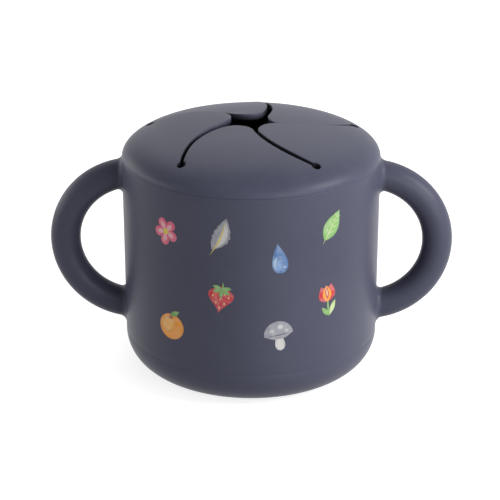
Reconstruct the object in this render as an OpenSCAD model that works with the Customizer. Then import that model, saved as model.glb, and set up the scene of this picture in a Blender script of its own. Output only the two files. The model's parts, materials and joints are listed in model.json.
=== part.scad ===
// Toddler snack cup: a soft cup with two loop handles and a press-in crowned lid.
// The lid is slit into five curved flaps that a small hand pushes through.
// Millimetres, +Z up, origin at the middle of the base, handles along X, camera side -Y.

/* [Cup] */
// Outer radius of the straight wall, and of the lid's edge
cup_r = 45; // [40:0.5:55]
// Height of the joint line between cup and lid
seam_z = 77; // [65:1:95]
// Thickness of the cup wall
wall = 3; // [2.4:0.1:4]
// Thickness of the floor
floor_t = 3.6; // [3:0.1:6]
// Width of the rounding between wall and base
base_round_r = 12.1; // [6:0.1:16]
// Height of the rounding between wall and base
base_round_z = 12.4; // [6:0.1:16]
// Radius of the fillet between wall and floor, inside
inner_fillet = 9; // [4:0.5:14]
// Radius of the shallow recess under the base
recess_r = 26; // [15:1:30]
// Depth of the recess under the base
recess_depth = 0.8; // [0.4:0.1:1.5]

/* [Handles] */
// Radius of the handle's centre line
loop_r = 24.9; // [20:0.1:26]
// Distance of the loop's centre from the cup's axis
loop_x = 41.1; // [40:0.1:44]
// Height of the loop's centre
loop_z = 45; // [38:0.1:48]
// Radius of the handle's round section
grip_r = 5.3; // [4:0.1:6]
// Radius of the blend where the handle meets the wall
root_fillet = 2.2; // [1:0.1:3]

/* [Lid] */
// Rise of the crown above the joint line
crown_h = 11.8; // [8:0.1:16]
// Roundness of the crown in plan direction, 2 is an ellipse
crown_power_r = 2.23; // [2:0.01:2.6]
// Roundness of the crown upwards, 2 is an ellipse
crown_power_z = 2.06; // [2:0.01:2.6]
// Thickness of the lid's skin
skin = 2.2; // [1.6:0.1:2.8]
// Thickness of the ring that presses into the mouth
plug_wall = 2; // [1.5:0.1:2.4]
// How far that ring reaches below the joint line
plug_depth = 6; // [4:0.1:9]
// Gap between the ring and the mouth
fit_gap = 0.15; // [0.1:0.01:0.3]
// Height of the cup's locating tongue
tongue_h = 1.9; // [1:0.1:2.2]
// Thickness of the cup's locating tongue
tongue_t = 1.4; // [1:0.1:1.8]
// Rounding of the two edges at the joint line
seam_edge = 0.35; // [0.1:0.05:0.6]

/* [Flaps] */
// Number of flaps, and of slits between them
flap_count = 5; // [5:1:5]
// Direction of the first slit's relief hole, from +X
first_slit_deg = -126.5; // [-180:0.5:180]
// Distance of the relief holes from the lid's axis
relief_r = 37.9; // [34:0.1:38.5]
// Diameter of the relief holes
relief_d = 2.8; // [2:0.1:3.6]
// Radius of each slit's arc, which would run on to the lid's axis
slit_arc_r = 34; // [28:0.5:45]
// Width of the slits
slit_w = 1.1; // [0.8:0.1:1.6]
// Radius of the full round at each flap's tip
tip_r = 7; // [5:0.1:8]
// Width of the strip that bends, between the rim and each flap
root_w = 4; // [3:0.1:6]

/* [Hidden] */

slate = [0.30, 0.31, 0.37];
slate_dark = [0.25, 0.26, 0.31];
slate_light = [0.36, 0.37, 0.43];

// Roundness of what the parts seat on, and of the soft outlines
$fn = 96;
crown_steps = 20;
round_steps = 10;
edge_steps = 3;
grip_sides = 24;
grip_steps = 28;
fillet_steps = 4;
cap_steps = 3;

bore_r = cup_r - wall;
plug_r = bore_r - fit_gap;
plug_inner_r = plug_r - plug_wall;
plug_z = seam_z - plug_depth;
tongue_r = bore_r + tongue_t;

// The plug's bead, which clicks into a groove in the mouth
bead_up = 2;
bead_h = 0.8;
bead_gap = 0.05;
bead_groove = 0.3;
bead_z = plug_z + bead_up;
bead_out = fit_gap - bead_gap;

// How far cutting shapes run beyond what they cut
beyond = 1;

// --- curves and outlines ------------------------------------------------------------

// Points of a quarter ellipse about [cx, cz], from angle a0 to a1
function quarter(cx, cz, rx, rz, a0, a1, steps) =
    [for (k = [0:steps]) let(a = a0 + (a1 - a0) * k / steps) [cx + rx * cos(a), cz + rz * sin(a)]];

// Height of the crown above the joint line at a distance r from the axis
function crown(r) = crown_h * pow(1 - pow(r / cup_r, crown_power_r), 1 / crown_power_z);

// The crown as points from the axis out to short of radius last_r, evenly round the curve
hair = 0.01;
function crown_point(a) =
    [cup_r * pow(sin(a), 2 / crown_power_r), seam_z + crown_h * pow(cos(a), 2 / crown_power_z)];
function crown_line(last_r) =
    [for (k = [0:crown_steps]) let(p = crown_point(90 * k / crown_steps)) if (p[0] < last_r) p];

function reversed(list) = [for (k = [len(list) - 1:-1:0]) list[k]];
function lowered(list, by) = [for (p = list) [p[0], p[1] - by]];
function polar(r, a) = [r * cos(a), r * sin(a)];

// --- cup ----------------------------------------------------------------------------

module cup_profile() {
    floor_z = recess_depth + floor_t;
    polygon(concat(
        [[0, recess_depth], [recess_r, recess_depth], [recess_r + recess_depth, 0]],
        quarter(cup_r - base_round_r, base_round_z, base_round_r, base_round_z, -90, 0, round_steps),
        quarter(cup_r - seam_edge, seam_z - seam_edge, seam_edge, seam_edge, 0, 90, edge_steps),
        [[tongue_r, seam_z]],
        quarter(tongue_r - seam_edge, seam_z + tongue_h - seam_edge, seam_edge, seam_edge, 0, 90, edge_steps),
        [
            [bore_r, seam_z + tongue_h],
            [bore_r, bead_z + bead_h],
            [bore_r + bead_groove, bead_z + bead_h / 2],
            [bore_r + bead_groove, bead_z - bead_h / 2],
            [bore_r, bead_z - bead_h]
        ],
        quarter(bore_r - inner_fillet, floor_z + inner_fillet, inner_fillet, inner_fillet, 0, -90, round_steps),
        [[0, floor_z]]
    ));
}

module cup_shell() {
    color(slate) rotate_extrude() cup_profile();
}

// --- handles ------------------------------------------------------------------------

// A point on the loop: a turn of the loop, b turn of the section, rho section radius
function grip_point(a, b, rho) = [
    loop_x + (loop_r + rho * cos(b)) * cos(a),
    rho * sin(b),
    loop_z + (loop_r + rho * cos(b)) * sin(a)
];

// The turn of the loop at which the section's line b reaches the cup's wall
function wall_turn(b, rho) =
    acos((sqrt(pow(cup_r, 2) - pow(rho * sin(b), 2)) - loop_x) / (loop_r + rho * cos(b)));

// The turn that an arc as long as the fillet takes on the section's line b
function fillet_turn(b, rho, share) = root_fillet * share / (loop_r + rho * cos(b)) * 180 / PI;

// One ring of the section. stage 0 to 1 runs over the grip, 1 to 2 over the fillet,
// and 2 to 3 over the foot on the wall. end is -1 or 1.
function ring(stage, end) =
    let(
        t = min(max(stage - 1, 0), 1) * 90,
        foot = max(stage - 2, 0),
        rho = (grip_r + root_fillet * (1 - cos(t))) * (1 - foot)
    )
    [for (k = [0:grip_sides - 1])
        let(
            b = 360 * k / grip_sides,
            a = wall_turn(b, rho) - fillet_turn(b, rho, 1 - sin(t))
        )
        grip_point(end * a * min(stage, 1), b, rho)
    ];

module handle() {
    stages = concat(
        [for (k = [cap_steps - 1:-1:1]) [2 + k / cap_steps, -1]],
        [for (k = [fillet_steps:-1:1]) [1 + k / fillet_steps, -1]],
        [for (k = [-grip_steps / 2:grip_steps / 2]) [abs(2 * k / grip_steps), k < 0 ? -1 : 1]],
        [for (k = [1:fillet_steps]) [1 + k / fillet_steps, 1]],
        [for (k = [1:cap_steps - 1]) [2 + k / cap_steps, 1]]
    );
    rings = len(stages);
    foot_turn = wall_turn(0, 0);
    points = concat(
        [for (s = stages) each ring(s[0], s[1])],
        [grip_point(-foot_turn, 0, 0), grip_point(foot_turn, 0, 0)]
    );
    n = grip_sides;
    last = (rings - 1) * n;
    faces = concat(
        [for (i = [0:rings - 2], k = [0:n - 1])
            [i * n + k, i * n + (k + 1) % n, (i + 1) * n + k]],
        [for (i = [0:rings - 2], k = [0:n - 1])
            [i * n + (k + 1) % n, (i + 1) * n + (k + 1) % n, (i + 1) * n + k]],
        [for (k = [0:n - 1]) [(k + 1) % n, k, rings * n]],
        [for (k = [0:n - 1]) [last + k, last + (k + 1) % n, rings * n + 1]]
    );
    polyhedron(points, faces);
}

module handle_right() {
    color(slate_dark) handle();
}

module handle_left() {
    color(slate_dark) mirror([1, 0, 0]) handle();
}

// --- lid ----------------------------------------------------------------------------

// The whole moulded lid before it is slit: crown, edge, groove for the tongue, plug ring
module lid_profile() {
    groove_r = tongue_r + fit_gap;
    groove_z = seam_z + tongue_h + fit_gap;
    plug_edge = 0.8;
    polygon(concat(
        crown_line(cup_r - hair),
        quarter(cup_r - seam_edge, seam_z + seam_edge, seam_edge, seam_edge, 0, -90, edge_steps),
        [
            [groove_r, seam_z],
            [groove_r, groove_z],
            [plug_r, groove_z],
            [plug_r, bead_z + bead_h],
            [plug_r + bead_out, bead_z + bead_h / 2],
            [plug_r + bead_out, bead_z - bead_h / 2],
            [plug_r, bead_z - bead_h],
            [plug_r, plug_z + plug_edge],
            [plug_r - plug_edge / 2, plug_z],
            [plug_inner_r + plug_edge / 2, plug_z],
            [plug_inner_r, plug_z + plug_edge],
            [plug_inner_r, seam_z + crown(plug_inner_r) - skin]
        ],
        lowered(reversed(crown_line(plug_inner_r)), skin)
    ));
}

module lid_blank() {
    rotate_extrude() lid_profile();
}

// --- flaps, drawn in a frame whose +X runs along the flap's middle --------------------

half_pitch = 180 / flap_count;
root_x = relief_r * cos(half_pitch);
arc_lead = acos(relief_r / 2 / slit_arc_r);
arc_a = polar(slit_arc_r, arc_lead - half_pitch);
arc_b = polar(slit_arc_r, arc_lead + half_pitch);
edge_a = slit_arc_r - slit_w / 2;
edge_b = slit_arc_r + slit_w / 2;

// The tip's round touches both slit edges: it lies inside arc a and outside arc b.
// It is a trifle larger, so that its edge crosses theirs and doesn't only touch them.
tip_ease = 0.05;
reach_a = edge_a - tip_r;
reach_b = edge_b + tip_r;
arcs_apart = norm(arc_b - arc_a);
along = (pow(reach_a, 2) - pow(reach_b, 2) + pow(arcs_apart, 2)) / (2 * arcs_apart);
across = sqrt(pow(reach_a, 2) - pow(along, 2));
arcs_dir = (arc_b - arc_a) / arcs_apart;
tip = arc_a + along * arcs_dir + across * [-arcs_dir[1], arcs_dir[0]];
touch_a = arc_a + (tip - arc_a) * edge_a / reach_a;
touch_b = arc_b + (tip - arc_b) * edge_b / reach_b;

// The space between two slits' facing edges
module between_slits() {
    difference() {
        translate(arc_a) circle(edge_a);
        translate(arc_b) circle(edge_b);
    }
}

// A flap: between the slits, from the round at its tip out to the strip that bends
module flap_outline() {
    back = touch_a - touch_b;
    last_x = root_x - root_w;
    intersection() {
        between_slits();
        union() {
            polygon([touch_b - back, touch_a + back, [last_x, -cup_r], [last_x, cup_r]]);
            translate(tip) circle(tip_r + tip_ease);
        }
    }
}

module root_outline() {
    difference() {
        intersection() {
            between_slits();
            translate([root_x - root_w, -cup_r]) square([root_w, 2 * cup_r]);
        }
        for (side = [-1, 1])
            translate(polar(relief_r, side * half_pitch)) circle(d = relief_d);
    }
}

// An outline carried up through the whole height of the lid
module slit_depth() {
    translate([0, 0, plug_z - beyond])
        linear_extrude(seam_z + crown_h - plug_z + 2 * beyond) children();
}

module cut_from_lid(number) {
    intersection() {
        lid_blank();
        rotate(first_slit_deg + half_pitch * (2 * number + 1))
            slit_depth() children();
    }
}

module flap(number) {
    color(slate_light) cut_from_lid(number) flap_outline();
}

module flap_root(number) {
    color(slate) cut_from_lid(number) root_outline();
}

module lid_rim() {
    color(slate) difference() {
        lid_blank();
        rotate(first_slit_deg) slit_depth() {
            polygon([for (k = [0:flap_count - 1]) polar(relief_r, 2 * half_pitch * k)]);
            for (k = [0:flap_count - 1])
                translate(polar(relief_r, 2 * half_pitch * k)) circle(d = relief_d);
        }
    }
}

module flap_front() { flap(0); }
module flap_right() { flap(1); }
module flap_back_right() { flap(2); }
module flap_back() { flap(3); }
module flap_left() { flap(4); }

module flap_front_root() { flap_root(0); }
module flap_right_root() { flap_root(1); }
module flap_back_right_root() { flap_root(2); }
module flap_back_root() { flap_root(3); }
module flap_left_root() { flap_root(4); }

cup_shell();
handle_left();
handle_right();
lid_rim();
flap_front();
flap_right();
flap_back_right();
flap_back();
flap_left();
flap_front_root();
flap_right_root();
flap_back_right_root();
flap_back_root();
flap_left_root();
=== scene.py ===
"""A toddler's snack cup in soft silicone: cup, two loop handles and a lid slit into five flaps.

Shapes are worked out in millimetres, as they are dimensioned, and become metres in new_piece.
Each flap is drawn in its own plan, whose +X runs along the flap's middle, and is then turned
to its place round the lid.
"""
import json
import math

import bmesh
import bpy
import numpy as np
from mathutils import Matrix, Vector
from mathutils.geometry import delaunay_2d_cdt

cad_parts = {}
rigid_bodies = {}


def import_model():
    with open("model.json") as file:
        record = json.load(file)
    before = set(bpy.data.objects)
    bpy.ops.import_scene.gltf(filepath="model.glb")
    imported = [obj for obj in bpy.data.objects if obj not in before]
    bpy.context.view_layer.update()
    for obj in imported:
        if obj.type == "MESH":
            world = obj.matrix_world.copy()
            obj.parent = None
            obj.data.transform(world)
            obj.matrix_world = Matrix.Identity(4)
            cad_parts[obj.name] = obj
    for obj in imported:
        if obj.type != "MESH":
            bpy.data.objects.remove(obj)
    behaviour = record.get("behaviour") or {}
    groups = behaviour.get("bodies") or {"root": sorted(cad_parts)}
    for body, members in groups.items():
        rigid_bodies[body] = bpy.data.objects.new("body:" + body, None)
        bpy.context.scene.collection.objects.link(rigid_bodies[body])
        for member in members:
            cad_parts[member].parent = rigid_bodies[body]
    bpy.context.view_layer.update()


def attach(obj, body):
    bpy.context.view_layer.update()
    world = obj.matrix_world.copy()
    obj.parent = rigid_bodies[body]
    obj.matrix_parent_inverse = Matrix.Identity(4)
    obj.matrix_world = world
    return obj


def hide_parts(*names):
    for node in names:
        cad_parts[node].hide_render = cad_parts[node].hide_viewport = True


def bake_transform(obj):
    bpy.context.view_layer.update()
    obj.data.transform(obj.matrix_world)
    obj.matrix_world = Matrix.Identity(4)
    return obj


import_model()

MM = 0.001

# --- sizes, as moulded ------------------------------------------------------------------
# In millimetres. R is a radius about the middle and Z a height above the table.
CUP_R = 45.0
SEAM_Z = 77.0
WALL = 3.0
FLOOR_T = 3.6
BASE_ROUND_R, BASE_ROUND_Z = 12.1, 12.4
INNER_FILLET = 9.0
RECESS_R, RECESS_DEPTH, RECESS_FILLET = 26.0, 0.8, 0.4
FOOT_EDGE, FOOT_EDGE_OUT = 0.5, 0.8
MOULD_LINE_Z, MOULD_LINE_DEPTH = BASE_ROUND_Z + 0.7, 0.05
MOULD_LINE_DEEP, MOULD_LINE_OPEN = 0.12, 0.32

LOOP_R, LOOP_X, LOOP_Z = 24.9, 41.1, 45.0
GRIP_R = 5.3
ROOT_FILLET = 2.2
FOOT_SINK = 0.008

CROWN_H, CROWN_POWER_R, CROWN_POWER_Z = 11.8, 2.23, 2.06
SKIN = 2.2
FIT_GAP = 0.15
BORE_R = CUP_R - WALL
PLUG_R = BORE_R - FIT_GAP
PLUG_INNER_R = PLUG_R - 2.0
PLUG_Z = SEAM_Z - 6.0
BEAD_Z, BEAD_H, BEAD_CLEAR, BEAD_GROOVE = PLUG_Z + 2.0, 0.8, 0.05, 0.3
TONGUE_R, TONGUE_H, TONGUE_SLOPE = BORE_R + 1.4, 1.9, 0.1
CUP_EDGE, LID_EDGE, TONGUE_EDGE, PLUG_EDGE = 0.30, 0.06, 0.35, 0.5
TOP_JOIN_R = 41.2
CROWN_STOP, CROWN_END_GAP = 0.004, 0.05

FLAPS = 5
FIRST_SLIT = math.radians(-126.5)
HALF_PITCH = math.pi / FLAPS
RELIEF_AT, RELIEF_R = 37.9, 1.4
SLIT_ARC_R, SLIT_W = 34.0, 1.1
TIP_R = 7.0
ROOT_W = 4.0
TOP_ROUND, UNDER_ROUND = 0.40, 0.3

# Painted shade on the faces inside slits and holes: how far it reaches into the skin, its share
# at the flaps' tips, and the distances from the lid's middle between which that share fades to full
CUT_SHADE_REACH, TIP_SHADE_TOP, TIP_SHADE_UNDER = 0.30, 0.15, 0.9
TIP_SHADE_FADE, LIFTED_SHADE_FADE = (9.0, 13.0), (17.0, 27.0)

# --- how finely things are divided ------------------------------------------------------
TURNS = 300
SMOOTH_BELOW = 38  # degrees from face to face
CUP_RUN, LID_RUN = 3.0, 2.5  # the longest straight piece of each profile
EDGE_HOLD = 0.5  # a point this far below the mouth's edge keeps the shading of the wall level
HANDLE_ALONG, HANDLE_ROUND = 176, 72
CROWN_STEPS, HOLE_STEPS = 18, 40
ARC_B_STEPS, TIP_STEPS, ARC_A_STEPS, END_STEPS = 56, 34, 48, 8

# The lid's plans have lines of points at these distances from every cut, and a staggered grid
# beyond them that keeps clear of the last line by a share of its step. One more line of points
# runs beside each root.
EDGE_RINGS = [TOP_ROUND * (1 - math.cos(math.radians(a))) for a in (0, 22, 45, 68, 90)] + [0.62, 0.9]
UNDER_RINGS = EDGE_RINGS[:4]
PLAN_STEP, PRINT_GRID = 1.0, 0.8
FILL_CLEAR = 0.45
BESIDE_ROOT, FLAP_BESIDE_CLEAR, RING_BESIDE_CLEAR = 0.22, 1.0, 0.2
ROOT_END_GAP, KEEP_CLEAR = 0.02, 0.003

SAME_POINT, POINT_CELL, TRIANGLE_TOLERANCE = 0.001, 0.002, 1e-7
TINY, LENGTH_ERROR = 1e-9, 1e-6
FAR_OFF = 99.0


# --- small tools ------------------------------------------------------------------------
def new_piece(name, points, faces, material, cut=None):
    """A closed mesh from points in millimetres, its faces turned outwards. The last argument, if given,
    holds the painted shade at each point.
    """
    mesh = bpy.data.meshes.new(name)
    mesh.from_pydata([[c * MM for c in p] for p in points], [], faces)
    if cut is not None:
        mesh.attributes.new("cut", "FLOAT", "POINT").data.foreach_set("value", cut)
    mesh.materials.append(material)
    return finished_piece(name, mesh)


def finished_piece(name, mesh):
    """A mesh made a piece of the scene, with its faces outwards and smooth but for its edges."""
    shape = bmesh.new()
    shape.from_mesh(mesh)
    bmesh.ops.recalc_face_normals(shape, faces=shape.faces)
    shape.to_mesh(mesh)
    shape.free()
    mesh.shade_smooth()
    mesh.set_sharp_from_angle(angle=math.radians(SMOOTH_BELOW))
    mesh.name = name
    piece = bpy.data.objects.new(name, mesh)
    bpy.context.scene.collection.objects.link(piece)
    return piece


def polar(r, angle):
    """The point at a distance and a direction from the origin."""
    return np.array([r * math.cos(angle), r * math.sin(angle)])


def turned(p, angle, to=(0.0, 0.0)):
    """p turned about the origin, and then carried to a place."""
    c, s = math.cos(angle), math.sin(angle)
    return np.array([to[0] + c * p[0] - s * p[1], to[1] + s * p[0] + c * p[1]])


def arc(cx, cy, rx, ry, start, end, steps):
    """Points of an elliptical arc between two angles in degrees, both ends included."""
    angles = [math.radians(start + (end - start) * k / steps) for k in range(steps + 1)]
    return [(cx + rx * math.cos(a), cy + ry * math.sin(a)) for a in angles]


def divided(profile, longest):
    """The profile with points added, so that no straight run is longer than longest."""
    out = [profile[0]]
    for (r0, z0), (r1, z1) in zip(profile, profile[1:]):
        parts = math.ceil(math.hypot(r1 - r0, z1 - z0) / longest - LENGTH_ERROR)
        out += [(r0 + (r1 - r0) * k / parts, z0 + (z1 - z0) * k / parts) for k in range(1, parts + 1)]
    return out


def add_row(points, r, z):
    """Adds a level circle of points, and gives their numbers."""
    points += [(*polar(r, 2 * math.pi * k / TURNS), z) for k in range(TURNS)]
    return list(range(len(points) - TURNS, len(points)))


def skin_between(rows):
    """Faces between rows of point numbers, with three corners where a row is a single pole."""
    faces = []
    for low, high in zip(rows, rows[1:]):
        for k in range(TURNS):
            j = (k + 1) % TURNS
            corners = [low[k], low[j], high[j], high[k]]
            faces.append([c for i, c in enumerate(corners) if c not in corners[:i]])
    return faces


def revolved(profile):
    """Points and faces of a profile of (r, z) turned about Z. An end on the axis is a pole."""
    points, rows = [], []
    for r, z in profile:
        if r < TINY:
            rows.append([len(points)] * TURNS)
            points.append((0.0, 0.0, z))
        else:
            rows.append(add_row(points, r, z))
    return points, skin_between(rows)


# --- node trees -------------------------------------------------------------------------
class Wire:
    """A node's output. Python's operators on it add Math nodes, so formulas read as formulas."""

    def __init__(self, graph, socket):
        self.graph, self.socket = graph, socket

    def math(self, operation, *others):
        """A Math node that takes this output first."""
        return self.graph.math(operation, self, *others)

    def __add__(self, other):
        return self.math("ADD", other)

    def __sub__(self, other):
        return self.math("SUBTRACT", other)

    def __mul__(self, other):
        return self.math("MULTIPLY", other)

    def __truediv__(self, other):
        return self.math("DIVIDE", other)

    def __rsub__(self, other):
        return self.graph.math("SUBTRACT", other, self)

    def __rtruediv__(self, other):
        return self.graph.math("DIVIDE", other, self)

    __radd__ = __add__
    __rmul__ = __mul__


class Graph:
    """A node tree that is being drawn."""

    def __init__(self, tree):
        self.tree = tree

    def add(self, kind, settings=None, values=None, out=0):
        """Adds a node, sets its settings and then its sockets, and gives one of its outputs."""
        node = self.tree.nodes.new(kind)
        for name, value in (settings or {}).items():
            if name == "stops":
                self.set_stops(node.color_ramp, value)
            else:
                setattr(node, name, value)
        for name, value in (values or {}).items():
            self.join(value, node.inputs[name])
        return Wire(self, node.outputs[out]) if len(node.outputs) else node

    def join(self, value, socket):
        """Links a wire, or each of several wires, to a socket, or sets a plain value there."""
        if isinstance(value, (list, tuple)) and value and isinstance(value[0], Wire):
            for each in value:
                self.tree.links.new(each.socket, socket)
        elif isinstance(value, Wire):
            self.tree.links.new(value.socket, socket)
        else:
            socket.default_value = value

    @staticmethod
    def set_stops(ramp, stops):
        """Gives a colour ramp its stops, as pairs of position and colour."""
        while len(ramp.elements) < len(stops):
            ramp.elements.new(0.5)
        for element, (position, colour) in zip(ramp.elements, stops):
            element.position, element.color = position, colour

    def math(self, operation, *values):
        """A Math node on wires and numbers."""
        return self.add("ShaderNodeMath", {"operation": operation}, dict(enumerate(values)))

    def mix(self, share, a, b):
        """Between two colours."""
        return self.add("ShaderNodeMix", {"data_type": "RGBA"}, {0: share, 6: a, 7: b}, out=2)

    def noise(self, where, scale, detail, roughness):
        """Soft random values from 0 to 1, of which a metre holds about as many as scale says."""
        return self.add("ShaderNodeTexNoise", None, {
            "Vector": where, "Scale": scale, "Detail": detail, "Roughness": roughness})

    def ramp(self, value, stops):
        """A value turned to the colours of a ramp."""
        return self.add("ShaderNodeValToRGB", {"stops": stops}, {"Fac": value})


def srgb(red, green, blue):
    """A colour read as 0 to 255 on screen, in the linear values that nodes take."""
    linear = [c / 12.92 if c <= 0.04045 else ((c + 0.055) / 1.055) ** 2.4
              for c in (red / 255, green / 255, blue / 255)]
    return (*linear, 1.0)


def new_material(name):
    """An empty material, and its tree to draw in."""
    material = bpy.data.materials.new(name)
    material.use_nodes = True
    material.node_tree.nodes.clear()
    return material, Graph(material.node_tree)


# --- finishes ---------------------------------------------------------------------------
# Painted shade: the colour that darkens the faces inside slits and holes
CUT_SHADE_COLOUR = srgb(18, 18, 24)
THIN_INK, INK_EDGE = (0.86, 0.84, 0.80, 1.0), (0.02, 0.02, 0.03, 1.0)
BLACK, WHITE = (0, 0, 0, 1), (1, 1, 1, 1)


def soft_touch_silicone(name, deep, pale, roughness):
    """Matt moulded silicone: a fine blasted grain, and a slight cloudiness in its pigment."""
    material, g = new_material(name)
    where = g.add("ShaderNodeTexCoord", out="Object")
    cloud = g.noise(where, 28.0, 3.0, 0.55)
    mottle = g.noise(where, 420.0, 2.0, 0.6)
    grain = g.noise(where, 2600.0, 2.0, 0.6)
    speck = g.noise(where, 900.0, 1.0, 0.4)
    share = cloud * 0.7 + mottle * 0.3
    skin = g.mix(g.ramp(share, [(0.35, BLACK), (0.65, WHITE)]), deep, pale)
    # Painted shade: the faces inside slits and holes are darkened towards that colour, and made rougher
    cut = g.add("ShaderNodeAttribute", {"attribute_name": "cut"}, out="Fac")
    colour = g.mix(cut, skin, CUT_SHADE_COLOUR)
    height = grain * 0.6 + speck * 0.4
    normal = g.add("ShaderNodeBump", None, {"Strength": 0.16, "Distance": 0.00006, "Height": height})
    shader = g.add("ShaderNodeBsdfPrincipled", None, {
        "Base Color": colour,
        "Roughness": roughness - 0.05 + cloud * 0.06 + mottle * 0.05 + cut * 0.4,
        "IOR": 1.41,
        "Specular IOR Level": 0.22,
        "Normal": normal,
    })
    g.add("ShaderNodeOutputMaterial", None, {"Surface": shader})
    return material


def printed_ink(name):
    """Ink pressed into the silicone: uneven like watercolour, and stronger along its edges."""
    material, g = new_material(name)
    where = g.add("ShaderNodeTexCoord", out="Object")
    ink = g.add("ShaderNodeAttribute", {"attribute_name": "ink"}, out="Color")
    rim = g.add("ShaderNodeAttribute", {"attribute_name": "rim"}, out="Fac")
    wash = g.noise(where, 520.0, 4.0, 0.6)
    strokes = g.noise(where, 1500.0, 3.0, 0.7)
    pale = g.ramp(wash * 0.65 + strokes * 0.35, [(0.42, BLACK), (0.68, WHITE)])
    washed = g.mix(pale * 0.26, ink, THIN_INK)
    darkened = g.mix(0.45, washed, INK_EDGE)
    colour = g.mix(rim * (0.15 + strokes * 0.5), washed, darkened)
    normal = g.add("ShaderNodeBump", None, {"Strength": 0.12, "Distance": 0.00005, "Height": strokes})
    shader = g.add("ShaderNodeBsdfPrincipled", None, {
        "Base Color": colour, "Roughness": 0.42 + wash * 0.12, "IOR": 1.45, "Normal": normal})
    g.add("ShaderNodeOutputMaterial", None, {"Surface": shader})
    return material


CUP_SILICONE = soft_touch_silicone("cup_silicone", srgb(74, 75, 92), srgb(79, 80, 97), 0.40)
# The lid's copy of the silicone is a touch bluer than the cup's: painted light, standing in for the cooler
# light that falls on the lid's top
LID_SILICONE = soft_touch_silicone("lid_silicone", srgb(72, 74, 92), srgb(79, 81, 99), 0.40)
PRINTED_INK = printed_ink("printed_ink")


# --- cup --------------------------------------------------------------------------------
def cup_profile():
    """From the middle of the underside out, up the wall, over the tongue and in over the floor."""
    floor_z = RECESS_DEPTH + FLOOR_T
    line_r = CUP_R - MOULD_LINE_DEPTH
    tongue_z, groove_r = SEAM_Z + TONGUE_H - TONGUE_EDGE, BORE_R + BEAD_GROOVE
    profile = [(0, RECESS_DEPTH), (RECESS_R - RECESS_FILLET, RECESS_DEPTH)]
    profile += arc(RECESS_R - RECESS_FILLET, RECESS_DEPTH - RECESS_FILLET,
                   RECESS_FILLET, RECESS_FILLET, 90, 30, 3)
    profile += arc(RECESS_R + FOOT_EDGE_OUT, FOOT_EDGE, FOOT_EDGE, FOOT_EDGE, 210, 270, 3)
    profile += arc(CUP_R - BASE_ROUND_R, BASE_ROUND_Z, BASE_ROUND_R, BASE_ROUND_Z, -90, 0, 36)
    profile += [(CUP_R, MOULD_LINE_Z - MOULD_LINE_OPEN), (line_r, MOULD_LINE_Z - MOULD_LINE_DEEP),
                (line_r, MOULD_LINE_Z + MOULD_LINE_DEEP), (CUP_R, MOULD_LINE_Z + MOULD_LINE_OPEN)]
    profile += [(CUP_R, SEAM_Z - CUP_EDGE - EDGE_HOLD)]
    profile += arc(CUP_R - CUP_EDGE, SEAM_Z - CUP_EDGE, CUP_EDGE, CUP_EDGE, 0, 90, 5)
    profile += [(TONGUE_R + TONGUE_SLOPE, SEAM_Z)]
    profile += arc(TONGUE_R - TONGUE_EDGE, tongue_z, TONGUE_EDGE, TONGUE_EDGE, 0, 90, 4)
    profile += arc(BORE_R + TONGUE_EDGE, tongue_z, TONGUE_EDGE, TONGUE_EDGE, 90, 180, 4)
    profile += [(BORE_R, BEAD_Z + BEAD_H), (groove_r, BEAD_Z + BEAD_H / 2),
                (groove_r, BEAD_Z - BEAD_H / 2), (BORE_R, BEAD_Z - BEAD_H)]
    profile += arc(BORE_R - INNER_FILLET, floor_z + INNER_FILLET, INNER_FILLET, INNER_FILLET, 0, -90, 20)
    profile += [(0, floor_z)]
    return divided(profile, CUP_RUN)


def make_cup():
    """The cup without its handles: wall, base, floor and mouth in one."""
    return new_piece("cup_body", *revolved(cup_profile()), CUP_SILICONE)


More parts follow.
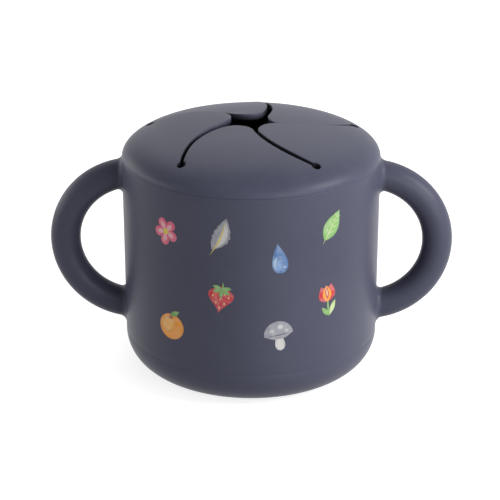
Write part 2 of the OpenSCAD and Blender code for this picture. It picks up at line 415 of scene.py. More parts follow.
# --- handles ----------------------------------------------------------------------------
def handle_tree():
    """A round grip swept round a loop. Near each end it flares into the cup's round wall."""
    tree = bpy.data.node_groups.new("handle_sweep", "GeometryNodeTree")
    sizes = {"Loop radius": LOOP_R, "Loop centre X": LOOP_X, "Loop centre Z": LOOP_Z,
             "Grip radius": GRIP_R, "Root fillet": ROOT_FILLET, "Wall radius": CUP_R - FOOT_SINK,
             "Turn about Z": 0.0}
    for name in sizes:
        tree.interface.new_socket(name, in_out="INPUT", socket_type="NodeSocketFloat")
    tree.interface.new_socket("Finish", in_out="INPUT", socket_type="NodeSocketMaterial")
    tree.interface.new_socket("Handle", in_out="OUTPUT", socket_type="NodeSocketGeometry")
    g = Graph(tree)
    entry = tree.nodes.new("NodeGroupInput")
    loop_r, loop_x, loop_z, grip_r, fillet, wall_r, turn_z = [
        Wire(g, entry.outputs[name]) for name in sizes]
    grid = g.add("GeometryNodeMeshGrid", None, {
        "Size X": 2.0, "Size Y": 1.0, "Vertices X": HANDLE_ALONG + 1, "Vertices Y": HANDLE_ROUND + 1})
    place = g.add("GeometryNodeInputPosition")
    along, around = [g.add("ShaderNodeSeparateXYZ", None, {"Vector": place}, out=k) for k in (0, 1)]
    grip_end, fillet_end = 0.82, 0.95
    reach = along.math("ABSOLUTE")
    grip_share = (reach / grip_end).math("MINIMUM", 1.0)
    fillet_share = ((reach - grip_end) / (fillet_end - grip_end)).math("MAXIMUM", 0.0).math("MINIMUM", 1.0)
    foot_share = ((reach - fillet_end) / (1 - fillet_end)).math("MAXIMUM", 0.0)
    flare = fillet_share * (math.pi / 2)
    section_turn = around * (2 * math.pi)
    rho = (grip_r + fillet * (1 - flare.math("COSINE"))) * (1 - foot_share)
    outward = loop_r + rho * section_turn.math("COSINE")
    sideways = rho * section_turn.math("SINE")
    wall_x = (wall_r * wall_r - sideways * sideways).math("SQRT")
    wall_turn = ((wall_x - loop_x) / outward).math("ARCCOSINE")
    turn = (wall_turn - fillet * (1 - flare.math("SINE")) / outward) * grip_share * along.math("SIGN")
    point = g.add("ShaderNodeCombineXYZ", None, {
        0: loop_x + outward * turn.math("COSINE"), 1: sideways, 2: loop_z + outward * turn.math("SINE")})
    swept = g.add("GeometryNodeSetPosition", None, {"Geometry": grid, "Position": point})
    metres = g.add("GeometryNodeTransform", None, {
        "Geometry": swept, "Scale": (MM, MM, MM),
        "Rotation": g.add("ShaderNodeCombineXYZ", None, {2: turn_z})})
    closed = g.add("GeometryNodeMergeByDistance", None, {"Geometry": metres, "Distance": 1e-6})
    whole = g.add("GeometryNodeRealizeInstances", None, {"Geometry": closed})
    painted = g.add("GeometryNodeSetMaterial", None, {
        "Geometry": whole, "Material": Wire(g, entry.outputs["Finish"])})
    g.join(painted, tree.nodes.new("NodeGroupOutput").inputs[0])
    return tree, sizes


def grown(name, tree, values, source=None):
    """The mesh that a geometry tree makes, as one plain piece."""
    carrier = bpy.data.objects.new(name + "_carrier", source or bpy.data.meshes.new(name + "_start"))
    bpy.context.scene.collection.objects.link(carrier)
    modifier = carrier.modifiers.new(name, "NODES")
    modifier.node_group = tree
    for item in tree.interface.items_tree:
        if item.in_out == "INPUT" and item.name in values:
            modifier[item.identifier] = values[item.name]
    evaluated = carrier.evaluated_get(bpy.context.evaluated_depsgraph_get())
    mesh = bpy.data.meshes.new_from_object(evaluated)
    bpy.data.objects.remove(carrier)
    return finished_piece(name, mesh)


def make_handles():
    """The left and the right handle, the same loop turned half round."""
    tree, sizes = handle_tree()
    right = grown("handle_grip_right", tree, {**sizes, "Finish": CUP_SILICONE})
    left = grown("handle_grip_left", tree, {**sizes, "Turn about Z": math.pi, "Finish": CUP_SILICONE})
    return left, right


# --- lid: heights -----------------------------------------------------------------------
def crown(r):
    """How far the lid's skin rises above the joint line at a distance from the middle."""
    return CROWN_H * max(0.0, 1 - (r / CUP_R) ** CROWN_POWER_R) ** (1 / CROWN_POWER_Z)


def rounding(distance, radius):
    """How far a rounded edge drops at a distance from the slit or hole that it rounds."""
    short = min(max(radius - distance, 0.0), radius)
    return radius - math.sqrt(radius * radius - short * short)


# --- lid: plan of one flap --------------------------------------------------------------
ROOT_X = RELIEF_AT * math.cos(HALF_PITCH)
HOLE_Y = RELIEF_AT * math.sin(HALF_PITCH)
ARC_LEAD = math.acos(RELIEF_AT / 2 / SLIT_ARC_R)
ARC_A = polar(SLIT_ARC_R, ARC_LEAD - HALF_PITCH)
ARC_B = polar(SLIT_ARC_R, ARC_LEAD + HALF_PITCH)
EDGE_A = SLIT_ARC_R - SLIT_W / 2
EDGE_B = SLIT_ARC_R + SLIT_W / 2
HOLE_A = np.array([ROOT_X, -HOLE_Y])
HOLE_B = np.array([ROOT_X, HOLE_Y])


def crossing(c0, r0, c1, r1, near):
    """The point where two circles cross, the one that is nearer to a given point."""
    apart = np.linalg.norm(c1 - c0)
    along = (r0 * r0 - r1 * r1 + apart * apart) / (2 * apart)
    across = math.sqrt(max(r0 * r0 - along * along, 0.0))
    ahead = (c1 - c0) / apart
    beside = np.array([-ahead[1], ahead[0]])
    found = [c0 + ahead * along + beside * across * side for side in (-1, 1)]
    return min(found, key=lambda p: np.linalg.norm(p - near))


NEAR_TIP = np.array([-20.0, -10.0])
TIP = crossing(ARC_A, EDGE_A - TIP_R, ARC_B, EDGE_B + TIP_R, NEAR_TIP)
TIP_WAY = TIP - np.array([ROOT_X, 0.0])
FAR_WAY = TIP_WAY / np.linalg.norm(TIP_WAY)


def along_circle(centre, radius, start, end, count, by_way_of=None):
    """count + 1 points on a circle from start to end, the short way or past a given point."""
    first = math.atan2(*(start - centre)[::-1])
    sweep = math.atan2(*(end - centre)[::-1]) - first
    sweep = (sweep + math.pi) % (2 * math.pi) - math.pi
    if by_way_of is not None:
        middle = centre + polar(radius, first + sweep / 2)
        if np.linalg.norm(middle - by_way_of) > radius:
            sweep -= math.copysign(2 * math.pi, sweep)
    return [centre + polar(radius, first + sweep * k / count) for k in range(count + 1)]


def flap_edge(inset):
    """The flap's free edge, moved inwards by inset: from the chord at hole B round to hole A."""
    radius_b, radius_a = EDGE_B + inset, EDGE_A - inset
    start_y = ARC_B[1] - math.sqrt(radius_b ** 2 - (ROOT_X - ARC_B[0]) ** 2)  # beside hole B
    start = np.array([ROOT_X, min(start_y, HOLE_Y - RELIEF_R - inset)])
    touch_b = ARC_B + (TIP - ARC_B) * radius_b / (EDGE_B + TIP_R)
    touch_a = ARC_A + (TIP - ARC_A) * radius_a / (EDGE_A - TIP_R)
    corner = crossing(HOLE_A, RELIEF_R + inset, ARC_A, radius_a, TIP)
    end = np.array([ROOT_X, -HOLE_Y + RELIEF_R + inset])
    tip_end = TIP + FAR_WAY * TIP_R
    points = along_circle(ARC_B, radius_b, start, touch_b, ARC_B_STEPS)
    points += along_circle(TIP, TIP_R - inset, touch_b, touch_a, TIP_STEPS, tip_end)[1:]
    points += along_circle(ARC_A, radius_a, touch_a, corner, ARC_A_STEPS)[1:]
    points += along_circle(HOLE_A, RELIEF_R + inset, corner, end, END_STEPS)[1:]
    points[0] = start
    return points


def chord_points():
    """Points of the straight root line, the same for the flap and for the ring beside it."""
    edges = [flap_edge(inset) for inset in EDGE_RINGS]
    ys = {round(e[0][1], 6) for e in edges} | {round(e[-1][1], 6) for e in edges}
    ys |= {round(HOLE_Y - RELIEF_R - inset, 6) for inset in EDGE_RINGS}
    low, high = -HOLE_Y + RELIEF_R + EDGE_RINGS[-1], min(e[0][1] for e in edges)
    steps = round((high - low) / PLAN_STEP)
    ys |= {round(low + (high - low) * k / steps, 6) for k in range(1, steps)}
    return [np.array([ROOT_X, y]) for y in sorted(ys)]


def clear_of_slit(p, arc_centre, hole):
    """Distance from p to a slit, or a large number past the slit's end at its hole."""
    ray, to_hole, to_axis = p - arc_centre, hole - arc_centre, -arc_centre
    span = to_axis[0] * to_hole[1] - to_axis[1] * to_hole[0]
    side_hole = (ray[0] * to_hole[1] - ray[1] * to_hole[0]) * span
    side_axis = (to_axis[0] * ray[1] - to_axis[1] * ray[0]) * span
    if side_hole < 0 or side_axis < 0:
        return FAR_OFF
    return abs(np.linalg.norm(ray) - SLIT_ARC_R) - SLIT_W / 2


def clear_of_cuts(p):
    """Distance from p, in a flap's plan, to the slits and holes on both sides of the flap."""
    return min(np.linalg.norm(p - HOLE_A) - RELIEF_R, np.linalg.norm(p - HOLE_B) - RELIEF_R,
               clear_of_slit(p, ARC_A, HOLE_A), clear_of_slit(p, ARC_B, HOLE_B))


def turn_from_far(v):
    """The signed angle from the way out past the tip to v."""
    return math.atan2(FAR_WAY[0] * v[1] - FAR_WAY[1] * v[0], FAR_WAY @ v)


TIP_ROUND_FROM, TIP_ROUND_TO = sorted([turn_from_far(TIP - ARC_A), turn_from_far(ARC_B - TIP)])


def inside_flap(p):
    """Distance from p to the flap's own edge, negative outside it."""
    inside = min(EDGE_A - np.linalg.norm(p - ARC_A), np.linalg.norm(p - ARC_B) - EDGE_B,
                 np.linalg.norm(p - HOLE_A) - RELIEF_R, np.linalg.norm(p - HOLE_B) - RELIEF_R)
    if TIP_ROUND_FROM < turn_from_far(p - TIP) < TIP_ROUND_TO:
        inside = min(inside, TIP_R - np.linalg.norm(p - TIP))
    return inside


# --- lid: triangles over a plan ---------------------------------------------------------
def hex_grid(low, high, step):
    """Staggered points over a rectangle."""
    rise = step * math.sqrt(3) / 2
    rows = int((high[1] - low[1]) / rise) + 1
    columns = int((high[0] - low[0]) / step) + 1
    return [np.array([low[0] + (c + 0.5 * (r % 2)) * step, low[1] + r * rise])
            for r in range(rows) for c in range(columns)]


def meshed(lines, fill, keep):
    """Triangles through lines of points and loose points. keep(centre) says which stay."""
    index, points, edges = {}, [], []

    def at(p):
        """The number of the point at p. Points closer than SAME_POINT are one point."""
        column, row = round(float(p[0]) / POINT_CELL), round(float(p[1]) / POINT_CELL)
        for cell in ((column + i, row + j) for i in (-1, 0, 1) for j in (-1, 0, 1)):
            for known in index.get(cell, ()):
                if (points[known] - Vector(p)).length < SAME_POINT:
                    return known
        index.setdefault((column, row), []).append(len(points))
        points.append(Vector((float(p[0]), float(p[1]))))
        return len(points) - 1

    chains = [[at(p) for p in line] for line in lines]
    for chain in chains:
        edges += [(a, b) for a, b in zip(chain, chain[1:]) if a != b]
    for p in fill:
        at(p)
    found = delaunay_2d_cdt(points, edges, [], 0, TRIANGLE_TOLERANCE, True)
    source = [ids[0] if ids else None for ids in found[3]]
    for i, known in enumerate(source):
        if known is None:
            source[i] = len(points)
            points.append(found[0][i])
    triangles = []
    for face in found[2]:
        ids = [source[i] for i in face]
        if keep(np.mean([points[i] for i in ids], axis=0)):
            triangles.append(ids)
    return [np.array(p) for p in points], triangles, chains


def in_place(p, number):
    """A point of a flap's plan, turned to that flap's place round the lid."""
    return turned(p, FIRST_SLIT + HALF_PITCH * (2 * number + 1))


def cut_share(p, clearance, at_tips, reach=TIP_SHADE_FADE):
    """1 on the faces inside a slit or hole, which painted shade darkens, 0 on the moulded skin. at_tips is
    the share there.
    """
    from_tips = (np.linalg.norm(p) - reach[0]) / (reach[1] - reach[0])
    return min(max(1 - clearance / CUT_SHADE_REACH, 0.0), 1.0) * min(max(from_tips, at_tips), 1.0)


def top_z(p, clearance):
    """The height of the lid's outer face, rounded towards the cuts."""
    return SEAM_Z + crown(np.linalg.norm(p)) - rounding(clearance, TOP_ROUND)


def under_z(p, clearance):
    """The height of the lid's inner face, rounded towards the cuts."""
    return SEAM_Z + crown(np.linalg.norm(p)) - SKIN + rounding(clearance, UNDER_ROUND)


def flap_plan():
    """One flap's triangles in plan, with its free edge and its root line."""
    rings = [flap_edge(inset) for inset in EDGE_RINGS]
    start = rings[0][0]
    chord = [p for p in chord_points() if p[1] < start[1] - ROOT_END_GAP] + [start]
    low, high = (-30.0, -40.0), (ROOT_X - PLAN_STEP / 2, 40.0)
    margin = EDGE_RINGS[-1] + FILL_CLEAR * PLAN_STEP
    fill = [p for p in hex_grid(low, high, PLAN_STEP) if inside_flap(p) > margin]
    beside = [p - np.array([BESIDE_ROOT, 0.0]) for p in chord]
    fill += [p for p in beside if inside_flap(p) > FLAP_BESIDE_CLEAR]
    return meshed([chord] + rings, fill, lambda p: p[0] < ROOT_X and inside_flap(p) > KEEP_CLEAR)


def settled(p, lift_a, lift_b, draw, swing):
    """How a soft flap has settled at plan point p: (along X, along Y, up) from as moulded."""
    length, past_tip, early_power = ROOT_X - TIP[0], 1.25, 2.2
    u = min(max((ROOT_X - p[0]) / length, 0.0), past_tip)
    from_a = max(EDGE_A - np.linalg.norm(p - ARC_A), 0.0)
    from_b = max(np.linalg.norm(p - ARC_B) - EDGE_B, 0.0)
    share = from_a / (from_a + from_b + TINY)
    ease = u * u * (3 - 2 * min(u, 1.0))
    early = 1 - (1 - min(u, 1.0)) ** early_power
    rise = lift_a * (1 - share) * early + lift_b * share * ease
    return draw * ease, swing * ease, rise


FLAP_NAMES = ["flap_front", "flap_right", "flap_back_right", "flap_back", "flap_left"]
# How each has settled: lift at either side, and its tip's draw and swing
FLAP_REST = {
    "flap_front": (0.3, 0.3, 0.0, 0.0),
    "flap_right": (0.45, 0.3, 0.0, 0.0),
    "flap_back_right": (-0.5, 0.0, 0.35, -0.8),
    "flap_back": (0.5, 0.55, 0.0, 0.0),
    "flap_left": (1.1, 0.8, 0.6, -0.4),
}


def make_flap(number, plan):
    """One flap with the strip at its root, settled and in its place."""
    points, triangles, chains = plan
    chord, edge = chains[0], chains[1]
    tops, unders, top_cut_shade, under_cut_shade = [], [], [], []
    rest = FLAP_REST[FLAP_NAMES[number]]
    # Painted shade on the faces of the slits and holes: lighter near the tips, and over a longer run on
    # the lifted left flap
    reach = LIFTED_SHADE_FADE if FLAP_NAMES[number] == "flap_left" else TIP_SHADE_FADE
    for p in points:
        clearance = max(min(inside_flap(p), clear_of_cuts(p)), 0.0)
        top_cut_shade.append(cut_share(p, clearance, TIP_SHADE_TOP, reach))
        under_cut_shade.append(cut_share(p, clearance, TIP_SHADE_UNDER))
        dx, dy, dz = settled(p, *rest)
        xy = in_place(p + np.array([dx, dy]), number)
        tops.append((xy[0], xy[1], top_z(p, clearance) + dz))
        unders.append((xy[0], xy[1], under_z(p, clearance) + dz))
    n = len(points)
    faces = triangles + [[i + n for i in reversed(t)] for t in triangles]
    for line in (edge, chord):
        faces += [[a, b, b + n, a + n] for a, b in zip(line, line[1:])]
    name = FLAP_NAMES[number].replace("flap_", "") + "_flap"
    return new_piece(name, tops + unders, faces, LID_SILICONE, cut=top_cut_shade + under_cut_shade)


# --- lid: the ring round the flaps ------------------------------------------------------
def ring_plan(outer_r, insets):
    """Triangles between the root lines with their holes and a circle of radius outer_r."""
    lines, walls, roots = [], [], []
    chord = chord_points()
    for number in range(FLAPS):
        hole = polar(RELIEF_AT, FIRST_SLIT + 2 * HALF_PITCH * number)
        facing = math.atan2(hole[1], hole[0])
        span = [facing + (math.pi / 2 + HALF_PITCH) * (2 * k / HOLE_STEPS - 1)
                for k in range(HOLE_STEPS + 1)]
        walls.append(len(lines))
        lines += [[hole + polar(RELIEF_R + inset, a) for a in span] for inset in insets]
        roots.append(len(lines))
        lines.append([in_place(p, number) for p in chord])
    circle = [polar(outer_r, 2 * math.pi * k / TURNS) for k in range(TURNS)]
    lines.append(circle + circle[:1])

    def own_plan(p):
        """p seen in the plan of the flap that it is nearest to."""
        turn = (math.atan2(p[1], p[0]) - FIRST_SLIT) % (2 * math.pi)
        number = int(turn / (2 * HALF_PITCH)) % FLAPS
        return turned(p, -(FIRST_SLIT + HALF_PITCH * (2 * number + 1)))

    def clearance(p):
        """Distance from p to the nearest slit or hole."""
        return clear_of_cuts(own_plan(p))

    def keep(p):
        """Whether a triangle about p belongs to the ring."""
        return own_plan(p)[0] > ROOT_X and clearance(p) > KEEP_CLEAR and np.linalg.norm(p) < outer_r

    half = PLAN_STEP / 2
    fill = [p for p in hex_grid((-outer_r, -outer_r), (outer_r, outer_r), PLAN_STEP)
            if np.linalg.norm(p) < outer_r - half and own_plan(p)[0] > ROOT_X + half
            and clearance(p) > insets[-1] + FILL_CLEAR * PLAN_STEP]
    beside = [in_place(p + np.array([BESIDE_ROOT, 0.0]), number)
              for number in range(FLAPS) for p in chord]
    fill += [p for p in beside if clearance(p) > insets[-1] + RING_BESIDE_CLEAR]
    return meshed(lines, fill, keep), walls, roots, clearance


def lid_edge_profile():
    """From the crown at TOP_JOIN_R out and down to the joint line, and in to the plug ring."""
    def crown_turn(r):
        """How far round its rounded outline the crown is at r."""
        return math.asin((r / CUP_R) ** (CROWN_POWER_R / 2))

    groove_r, groove_z = TONGUE_R + FIT_GAP, SEAM_Z + TONGUE_H + FIT_GAP
    bead_r = PLUG_R + FIT_GAP - BEAD_CLEAR
    first, last = crown_turn(TOP_JOIN_R), crown_turn(CUP_R - CROWN_STOP)
    profile = []
    for k in range(CROWN_STEPS + 1):
        a = first + (last - first) * k / CROWN_STEPS
        profile.append((CUP_R * math.sin(a) ** (2 / CROWN_POWER_R),
                        SEAM_Z + CROWN_H * math.cos(a) ** (2 / CROWN_POWER_Z)))
    profile = [q for q in profile if q[1] > SEAM_Z + LID_EDGE + CROWN_END_GAP]
    profile += arc(CUP_R - LID_EDGE, SEAM_Z + LID_EDGE, LID_EDGE, LID_EDGE, 0, -90, 4)
    profile += [(groove_r, SEAM_Z), (groove_r, groove_z), (PLUG_R, groove_z)]
    profile += [(PLUG_R, BEAD_Z + BEAD_H), (bead_r, BEAD_Z + BEAD_H / 2),
                (bead_r, BEAD_Z - BEAD_H / 2), (PLUG_R, BEAD_Z - BEAD_H)]
    profile += arc(PLUG_R - PLUG_EDGE, PLUG_Z + PLUG_EDGE, PLUG_EDGE, PLUG_EDGE, 0, -90, 4)
    profile += arc(PLUG_INNER_R + PLUG_EDGE, PLUG_Z + PLUG_EDGE, PLUG_EDGE, PLUG_EDGE, 270, 180, 4)
    profile += [(PLUG_INNER_R, SEAM_Z + crown(PLUG_INNER_R) - SKIN)]
    return profile[:CROWN_STEPS + 1] + divided(profile[CROWN_STEPS:], LID_RUN)[1:]


def make_lid_ring():
    """The lid without its flaps: the skin round them, the edge and the plug ring."""
    top, top_walls, top_roots, clearance = ring_plan(TOP_JOIN_R, EDGE_RINGS)
    under, under_walls, under_roots, _ = ring_plan(PLUG_INNER_R, UNDER_RINGS)
    n = len(top[0])
    plan = [(p, max(clearance(p), 0.0)) for p in top[0] + under[0]]
    # Painted shade on the faces round the relief holes and the slits' ends
    cut = [cut_share(p, clear, TIP_SHADE_TOP) for p, clear in plan]
    points = [(p[0], p[1], top_z(p, clear)) for p, clear in plan[:n]]
    points += [(p[0], p[1], under_z(p, clear)) for p, clear in plan[n:]]
    faces = top[1] + [[i + n for i in reversed(t)] for t in under[1]]
    for above, below in zip(top_walls + top_roots, under_walls + under_roots):
        a, b = top[2][above], [i + n for i in under[2][below]]
        faces += [[a[k], a[k + 1], b[k + 1], b[k]] for k in range(len(a) - 1)]
    rows = [top[2][-1][:-1]]
    rows += [add_row(points, r, z) for r, z in lid_edge_profile()[1:-1]]
    rows.append([i + n for i in under[2][-1][:-1]])
    faces += skin_between(rows)
    cut += [0.0] * (len(points) - len(cut))
    return new_piece("lid_ring", points, faces, LID_SILICONE, cut=cut)


# --- print on the cup's front -----------------------------------------------------------
PRINT_SIZE = 1.14
PRINT_SUNK, PRINT_PROUD, PRINT_STEP = -0.03, 0.035, 0.012  # the ink's own thickness, in layers
TOOTH_DEPTH = 0.16
RED, PALE_RED = srgb(196, 44, 58), srgb(226, 92, 92)
ORANGE, PALE_ORANGE, DEEP_ORANGE = srgb(247, 160, 52), srgb(252, 186, 92), srgb(204, 112, 34)
BLUE, MID_BLUE, PALE_BLUE = srgb(74, 116, 170), srgb(112, 150, 196), srgb(176, 200, 224)
GREEN, PALE_GREEN = srgb(126, 176, 96), srgb(196, 218, 150)
PINK, PALE_PINK = srgb(232, 96, 130), srgb(250, 186, 194)
GREY, PALE_GREY, DARK_GREY = srgb(150, 152, 162), srgb(206, 204, 204), srgb(112, 112, 126)
YELLOW, CREAM, BROWN = srgb(240, 214, 78), srgb(240, 214, 160), srgb(120, 84, 62)


def oval(cx, cy, rx, ry, turn=0.0, count=36):
    """A closed outline round an ellipse, turned by degrees."""
    return [turned((rx * math.cos(a), ry * math.sin(a)), math.radians(turn), (cx, cy))
            for a in (2 * math.pi * k / count for k in range(count))]


def blade(foot, length, width, turn=0.0, belly=1.0, bend=0.0, teeth=0, count=22):
    """A leaf-like outline that grows from foot, turned by degrees. belly above 1 puts its
    widest part nearer the far end, and teeth nick its sides."""
    sides = []
    for side in (-1, 1):
        for k in range(count):
            t = (k + (side + 1) / 2) / count
            half = width / 2 * math.sin(math.pi * t ** belly)
            if teeth:
                half *= 1 - TOOTH_DEPTH * ((t * teeth) % 1.0)
            sides.append((side * half + bend * math.sin(math.pi * t), length * t))
    right = sides[count:]
    return [turned(p, math.radians(turn), foot) for p in sides[:count] + right[::-1]]


def round_about(cx, cy, radius_at, count=60):
    """A closed outline whose distance from its middle is a function of the direction."""
    return [np.array([cx, cy]) + radius_at(a) * polar(1.0, a)
            for a in (2 * math.pi * k / count for k in range(count))]


def tulip():
    yield blade((0.2, -5.6), 6.5, 0.7, bend=-0.3), GREEN
    yield blade((0.1, -5.2), 5.0, 1.7, turn=-32), PALE_GREEN
    yield blade((0.0, -5.4), 4.2, 1.5, turn=34), GREEN
    yield blade((-0.3, -0.6), 5.6, 4.0, turn=17, belly=0.8), RED
    yield blade((0.3, -0.6), 5.6, 4.0, turn=-17, belly=0.8), RED
    yield blade((0.0, -0.6), 5.4, 3.2, belly=0.85), ORANGE
    yield blade((0.0, 0.2), 4.2, 1.3, belly=0.9), RED
    yield blade((0.0, 0.9), 3.0, 0.45), CREAM


def raindrop():
    count = 48
    drop = [np.array([3.3 * math.sin(a) * abs(math.sin(a / 2)) ** 1.3, 4.8 * math.cos(a)])
            for a in (2 * math.pi * (k + 0.5) / count for k in range(count))]
    yield drop, BLUE
    yield oval(-0.9, -2.0, 1.35, 2.1, turn=18), MID_BLUE
    yield blade((-1.5, -2.9), 3.6, 0.9, turn=-16, bend=-0.5), PALE_BLUE
    yield oval(1.2, -3.1, 0.45, 0.3, turn=30, count=16), PALE_BLUE


def leaf():
    yield blade((0.0, -5.4), 10.0, 5.4, belly=0.82), GREEN
    yield blade((0.0, -6.6), 10.0, 0.5, bend=0.15), PALE_GREEN
    for foot in (-3.0, -1.2, 0.6, 2.2):
        reach = 2.6 - 0.32 * abs(foot + 1.0)
        for side in (-1, 1):
            yield blade((0.0, foot), reach, 0.3, turn=side * 48, count=10), PALE_GREEN


def tangerine():
    yield oval(0.0, -0.4, 4.5, 4.15), ORANGE
    yield oval(-1.1, 0.3, 2.6, 2.3, turn=25), PALE_ORANGE
    yield oval(0.3, 2.5, 0.9, 0.42, count=20), DEEP_ORANGE
    yield blade((0.3, 2.4), 2.2, 0.6, turn=-14, count=12), BROWN
    yield blade((0.5, 3.2), 3.6, 1.7, turn=-68, belly=0.8, count=16), GREEN


def strawberry():
    yield blade((0.0, -5.0), 9.0, 7.8, belly=1.6), RED
    yield oval(-1.7, 0.9, 0.8, 1.5, turn=-12), PALE_RED
    seeds = ((0.0, -3.1), (-1.2, -1.6), (1.3, -1.5), (0.0, 0.0), (-2.4, 0.5), (2.4, 0.6), (1.2, 1.5))
    for x, y in seeds:
        yield oval(x, y, 0.22, 0.38, count=10), CREAM
    for turn in (-118, -78, 78, 118, 180):
        yield blade((0.0, 3.0), 2.9, 1.3, turn=turn, belly=0.9, count=14), GREEN
    yield blade((0.0, 2.7), 2.4, 0.5, bend=0.25, count=12), GREEN


def blossom():
    petals = 5

    def petal_edge(a):
        return 4.3 * (0.5 + 0.5 * abs(math.sin(petals * a / 2)) ** 0.6)

    yield round_about(0.0, 0.0, petal_edge, 100), PINK
    for k in range(petals):
        turn = 360 / petals * (k + 0.5) - 90
        yield blade((0.0, 0.0), 3.4, 1.5, turn=turn, belly=1.25, count=16), PALE_PINK
    yield oval(0.0, 0.0, 0.95, 0.95, count=24), YELLOW


def feather():
    yield blade((0.0, -4.6), 11.0, 5.4, bend=0.9, belly=0.9, teeth=6, count=60), GREY
    yield blade((0.6, -3.8), 9.0, 2.3, bend=0.9, belly=0.9), PALE_GREY
    yield blade((0.0, -6.8), 12.4, 0.42, bend=0.9), YELLOW


def mushroom():
    def cap_edge(a):
        return 4.4 if math.sin(a) > 0 else 4.4 - 3.1 * abs(math.sin(a)) ** 0.6

    yield blade((0.0, -5.0), 7.0, 3.0, belly=0.55), PALE_GREY
    yield round_about(0.0, 0.2, cap_edge), GREY
    yield blade((-3.9, 0.1), 7.8, 0.5, turn=-90, count=20), DARK_GREY
    for x, y, r in ((-1.9, 1.7, 0.75), (0.8, 2.7, 0.85), (2.4, 1.2, 0.55)):
        yield oval(x, y, r, r * 0.85, count=18), PALE_GREY


# Each motif with its degrees round from the front, its height and its lean
PRINT = [
    (blossom, -38, 62.0, 10), (feather, -13, 63.5, -24), (raindrop, 13, 56.0, 8), (leaf, 38, 65.0, -32),
    (tangerine, -36, 28.0, 8), (strawberry, -12, 41.5, -8), (mushroom, 13, 28.0, 8), (tulip, 36, 38.0, 8),
]


def within(p, outline):
    """Whether p lies inside a closed outline."""
    inside = False
    for a, b in zip(outline, outline[1:] + outline[:1]):
        if (a[1] > p[1]) != (b[1] > p[1]):
            inside ^= bool(p[0] < a[0] + (p[1] - a[1]) * (b[0] - a[0]) / (b[1] - a[1]))
    return inside


def motif_object(name, layers):
    """A flat motif in millimetres. Each layer of ink is a closed sheet, a step above the last."""
    points, faces, inks, rims = [], [], [], []
    for level, (outline, ink) in enumerate(layers):
        low, high = np.min(outline, axis=0), np.max(outline, axis=0)
        fill = [p for p in hex_grid(low, high, PRINT_GRID) if within(p, outline)
                and min(np.linalg.norm(p - q) for q in outline) > PRINT_GRID / 2]
        plan, triangles, chains = meshed([outline + outline[:1]], fill, lambda p: within(p, outline))
        n, first = len(plan), len(points)
        rim = set(chains[0])
        points += [(p[0], p[1], PRINT_PROUD + PRINT_STEP * level) for p in plan]
        points += [(p[0], p[1], PRINT_SUNK) for p in plan]
        faces += [[first + i for i in t] for t in triangles]
        faces += [[first + n + i for i in reversed(t)] for t in triangles]
        faces += [[first + a, first + b, first + b + n, first + a + n]
                  for a, b in zip(chains[0], chains[0][1:])]
        inks += [ink] * (2 * n)
        rims += [float(i in rim) for i in range(n)] * 2
    mesh = bpy.data.meshes.new(name)
    mesh.from_pydata(points, [], faces)
    mesh.attributes.new("ink", "FLOAT_COLOR", "POINT").data.foreach_set("color", np.ravel(inks))
    mesh.attributes.new("rim", "FLOAT", "POINT").data.foreach_set("value", rims)
    return bpy.data.objects.new(name, mesh)


def print_tree():
    """Sets the motifs at the points of a flat map of the cup, and wraps the map round its wall."""
    tree = bpy.data.node_groups.new("wrapped_print", "GeometryNodeTree")
    for name, kind in (("Map", "Geometry"), ("Wall radius", "Float"), ("Motifs", "Collection"),
                       ("Finish", "Material")):
        tree.interface.new_socket(name, in_out="INPUT", socket_type="NodeSocket" + kind)
    tree.interface.new_socket("Print", in_out="OUTPUT", socket_type="NodeSocketGeometry")
    g = Graph(tree)
    entry = tree.nodes.new("NodeGroupInput")
    flat, wall_r, motifs, finish = [Wire(g, entry.outputs[k]) for k in range(4)]
    lean = g.add("GeometryNodeInputNamedAttribute", {"data_type": "FLOAT"}, {"Name": "lean"})
    stamps = g.add("GeometryNodeCollectionInfo", None, {
        "Collection": motifs, "Separate Children": True, "Reset Children": True})
    laid = g.add("GeometryNodeInstanceOnPoints", None, {
        "Points": flat, "Instance": stamps, "Pick Instance": True,
        "Instance Index": g.add("GeometryNodeInputIndex"),
        "Rotation": g.add("ShaderNodeCombineXYZ", None, {2: lean}),
        "Scale": (PRINT_SIZE, PRINT_SIZE, 1.0)})
    sheets = g.add("GeometryNodeRealizeInstances", None, {"Geometry": laid})
    place = g.add("GeometryNodeInputPosition")
    along, up, proud = [g.add("ShaderNodeSeparateXYZ", None, {"Vector": place}, out=k) for k in range(3)]
    angle, reach = along / wall_r, wall_r + proud
    wrapped = g.add("GeometryNodeSetPosition", None, {
        "Geometry": sheets,
        "Position": g.add("ShaderNodeCombineXYZ", None, {
            0: reach * angle.math("SINE") * MM, 1: reach * angle.math("COSINE") * -MM, 2: up * MM})})
    painted = g.add("GeometryNodeSetMaterial", None, {"Geometry": wrapped, "Material": finish})
    g.join(painted, tree.nodes.new("NodeGroupOutput").inputs[0])
    return tree


def make_print():
    """All the motifs as one thin piece on the cup's wall."""
    motifs = bpy.data.collections.new("motifs")
    bpy.context.scene.collection.children.link(motifs)
    for number, (drawn, *_) in enumerate(PRINT):
        motifs.objects.link(motif_object(f"motif_{number}_{drawn.__name__}", list(drawn())))
    flat_map = bpy.data.meshes.new("print_map")
    flat_map.from_pydata([(math.radians(turn) * CUP_R, z, 0) for _, turn, z, _ in PRINT], [], [])
    leans = [math.radians(lean) for *_, lean in PRINT]
    flat_map.attributes.new("lean", "FLOAT", "POINT").data.foreach_set("value", leans)
    piece = grown("front_print", print_tree(), {
        "Wall radius": CUP_R, "Motifs": motifs, "Finish": PRINTED_INK}, flat_map)
    for stamp in list(motifs.objects):
        bpy.data.objects.remove(stamp)
    bpy.data.collections.remove(motifs)
    return piece


# --- set, lamps and camera --------------------------------------------------------------
def seen_share(g):
    """1 for camera, mirror and glass rays, and 0 for the light that falls on things."""
    rays = [g.add("ShaderNodeLightPath", out=name)
            for name in ("Is Camera Ray", "Is Glossy Ray", "Is Transmission Ray")]
    return (rays[0] + rays[1] + rays[2]).math("MINIMUM", 1.0)


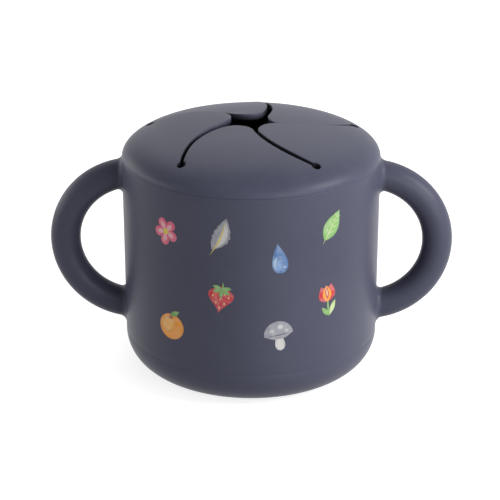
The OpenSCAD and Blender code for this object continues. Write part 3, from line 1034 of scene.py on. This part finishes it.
def white_when_seen(g, plain, strength):
    """A plain finish that also glows white where it is seen, and lights nothing."""
    glow = g.add("ShaderNodeEmission", None, {"Color": WHITE, "Strength": seen_share(g) * strength})
    return g.add("ShaderNodeAddShader", None, {0: plain, 1: glow})


def make_floor():
    """A pale floor that keeps the cup's shadow, with painted shade where its white glow is dimmer close to
    the cup, and turns plain white away from the cup.
    """
    side, glow_near, glow_far = 3.0, 0.78, 0.96
    shade_from, shade_width = 0.036, 0.03
    mesh = bpy.data.meshes.new("floor")
    mesh.from_pydata([(-side, -side, 0), (side, -side, 0), (side, side, 0), (-side, side, 0)], [],
                     [(0, 1, 2, 3)])
    floor = bpy.data.objects.new("floor", mesh)
    bpy.context.scene.collection.objects.link(floor)
    material, g = new_material("pale_floor")
    place = g.add("ShaderNodeTexCoord", out="Object")
    away = g.add("ShaderNodeVectorMath", {"operation": "LENGTH"}, {0: place}, out="Value")
    # Painted shade: the glow is dimmer within a few centimetres of the cup, and full beyond
    far_share = ((away - shade_from) / shade_width).math("MAXIMUM", 0.0).math("MINIMUM", 1.0)
    plain = g.add("ShaderNodeBsdfDiffuse", None, {"Color": (0.5, 0.5, 0.5, 1)})
    g.add("ShaderNodeOutputMaterial", None, {
        "Surface": white_when_seen(g, plain, glow_near + far_share * (glow_far - glow_near))})
    mesh.materials.append(material)


def softbox(name, azimuth, height, width, depth, power):
    """A rectangular lamp a metre from the cup, placed by two angles in degrees."""
    middle, away = Vector((0.0, 0.0, 0.045)), 1.0
    level = polar(away * math.cos(math.radians(height)), math.radians(azimuth))
    data = bpy.data.lights.new(name, "AREA")
    data.shape, data.size, data.size_y = "RECTANGLE", width, depth
    data.energy = power
    lamp = bpy.data.objects.new(name, data)
    lamp.location = middle + Vector((*level, away * math.sin(math.radians(height))))
    lamp.rotation_mode = "QUATERNION"
    lamp.rotation_quaternion = (middle - lamp.location).to_track_quat("-Z", "Y")
    bpy.context.scene.collection.objects.link(lamp)


def make_lamps():
    """Five soft lamps, sized in metres and driven in watts, and a faint light all round."""
    softbox("key_softbox", -52, 9, 0.80, 0.50, 5.9)
    softbox("right_softbox", -16, 29, 0.46, 0.38, 7.4)
    softbox("back_softbox", 95, 48, 0.90, 0.70, 2.1)
    softbox("left_softbox", 180, 8, 0.60, 0.35, 2.3)
    softbox("rim_softbox", 148, 9, 0.45, 0.45, 1.4)
    world = bpy.data.worlds.new("studio")
    bpy.context.scene.world = world
    world.use_nodes = True
    world.node_tree.nodes.clear()
    g = Graph(world.node_tree)
    ambient = 0.08
    back = g.add("ShaderNodeBackground", None, {
        "Color": WHITE, "Strength": seen_share(g) * (1 - ambient) + ambient})
    g.add("ShaderNodeOutputWorld", None, {"Surface": back})


def make_camera():
    """The photographer's view: a long lens, 595 mm from the cup, looking down at it."""
    distance, down, round_z = 0.595, math.radians(22.56), math.radians(1.11)
    aim_x, aim_z = -0.0004, 0.0407
    data = bpy.data.cameras.new("camera")
    data.sensor_width, data.lens = 36.0, 120.1
    data.clip_start, data.clip_end = 0.05, 20.0
    camera = bpy.data.objects.new("camera", data)
    place = Vector((aim_x, -distance * math.cos(down), aim_z + distance * math.sin(down)))
    camera.location = Matrix.Rotation(round_z, 3, "Z") @ place
    camera.rotation_euler = (math.pi / 2 - down, 0.0, round_z)
    bpy.context.scene.collection.objects.link(camera)
    bpy.context.scene.camera = camera


# --- assembly ---------------------------------------------------------------------------
def assemble():
    """Makes every piece, hangs the cup's pieces and the lid ring on their bodies, and hides the parts of
    the model that they stand in for.
    """
    cup = make_cup()
    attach(cup, "cup")
    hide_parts("cup_shell")
    ink = make_print()
    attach(ink, "cup")
    for grip, node in zip(make_handles(), ("handle_left", "handle_right")):
        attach(grip, "cup")
        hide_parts(node)
    ring = make_lid_ring()
    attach(ring, "lid")
    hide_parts("lid_rim")
    plan = flap_plan()
    for number, node in enumerate(FLAP_NAMES):
        flap = make_flap(number, plan)
        root, free = [in_place(np.array([x, 0.0]), number) for x in (ROOT_X, ROOT_X - ROOT_W)]
        height = (SEAM_Z + crown(ROOT_X)) * MM
        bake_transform(flap)
        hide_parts(node, node + "_root")


assemble()
make_floor()
make_lamps()
make_camera()
bpy.context.scene.view_settings.view_transform = "Standard"
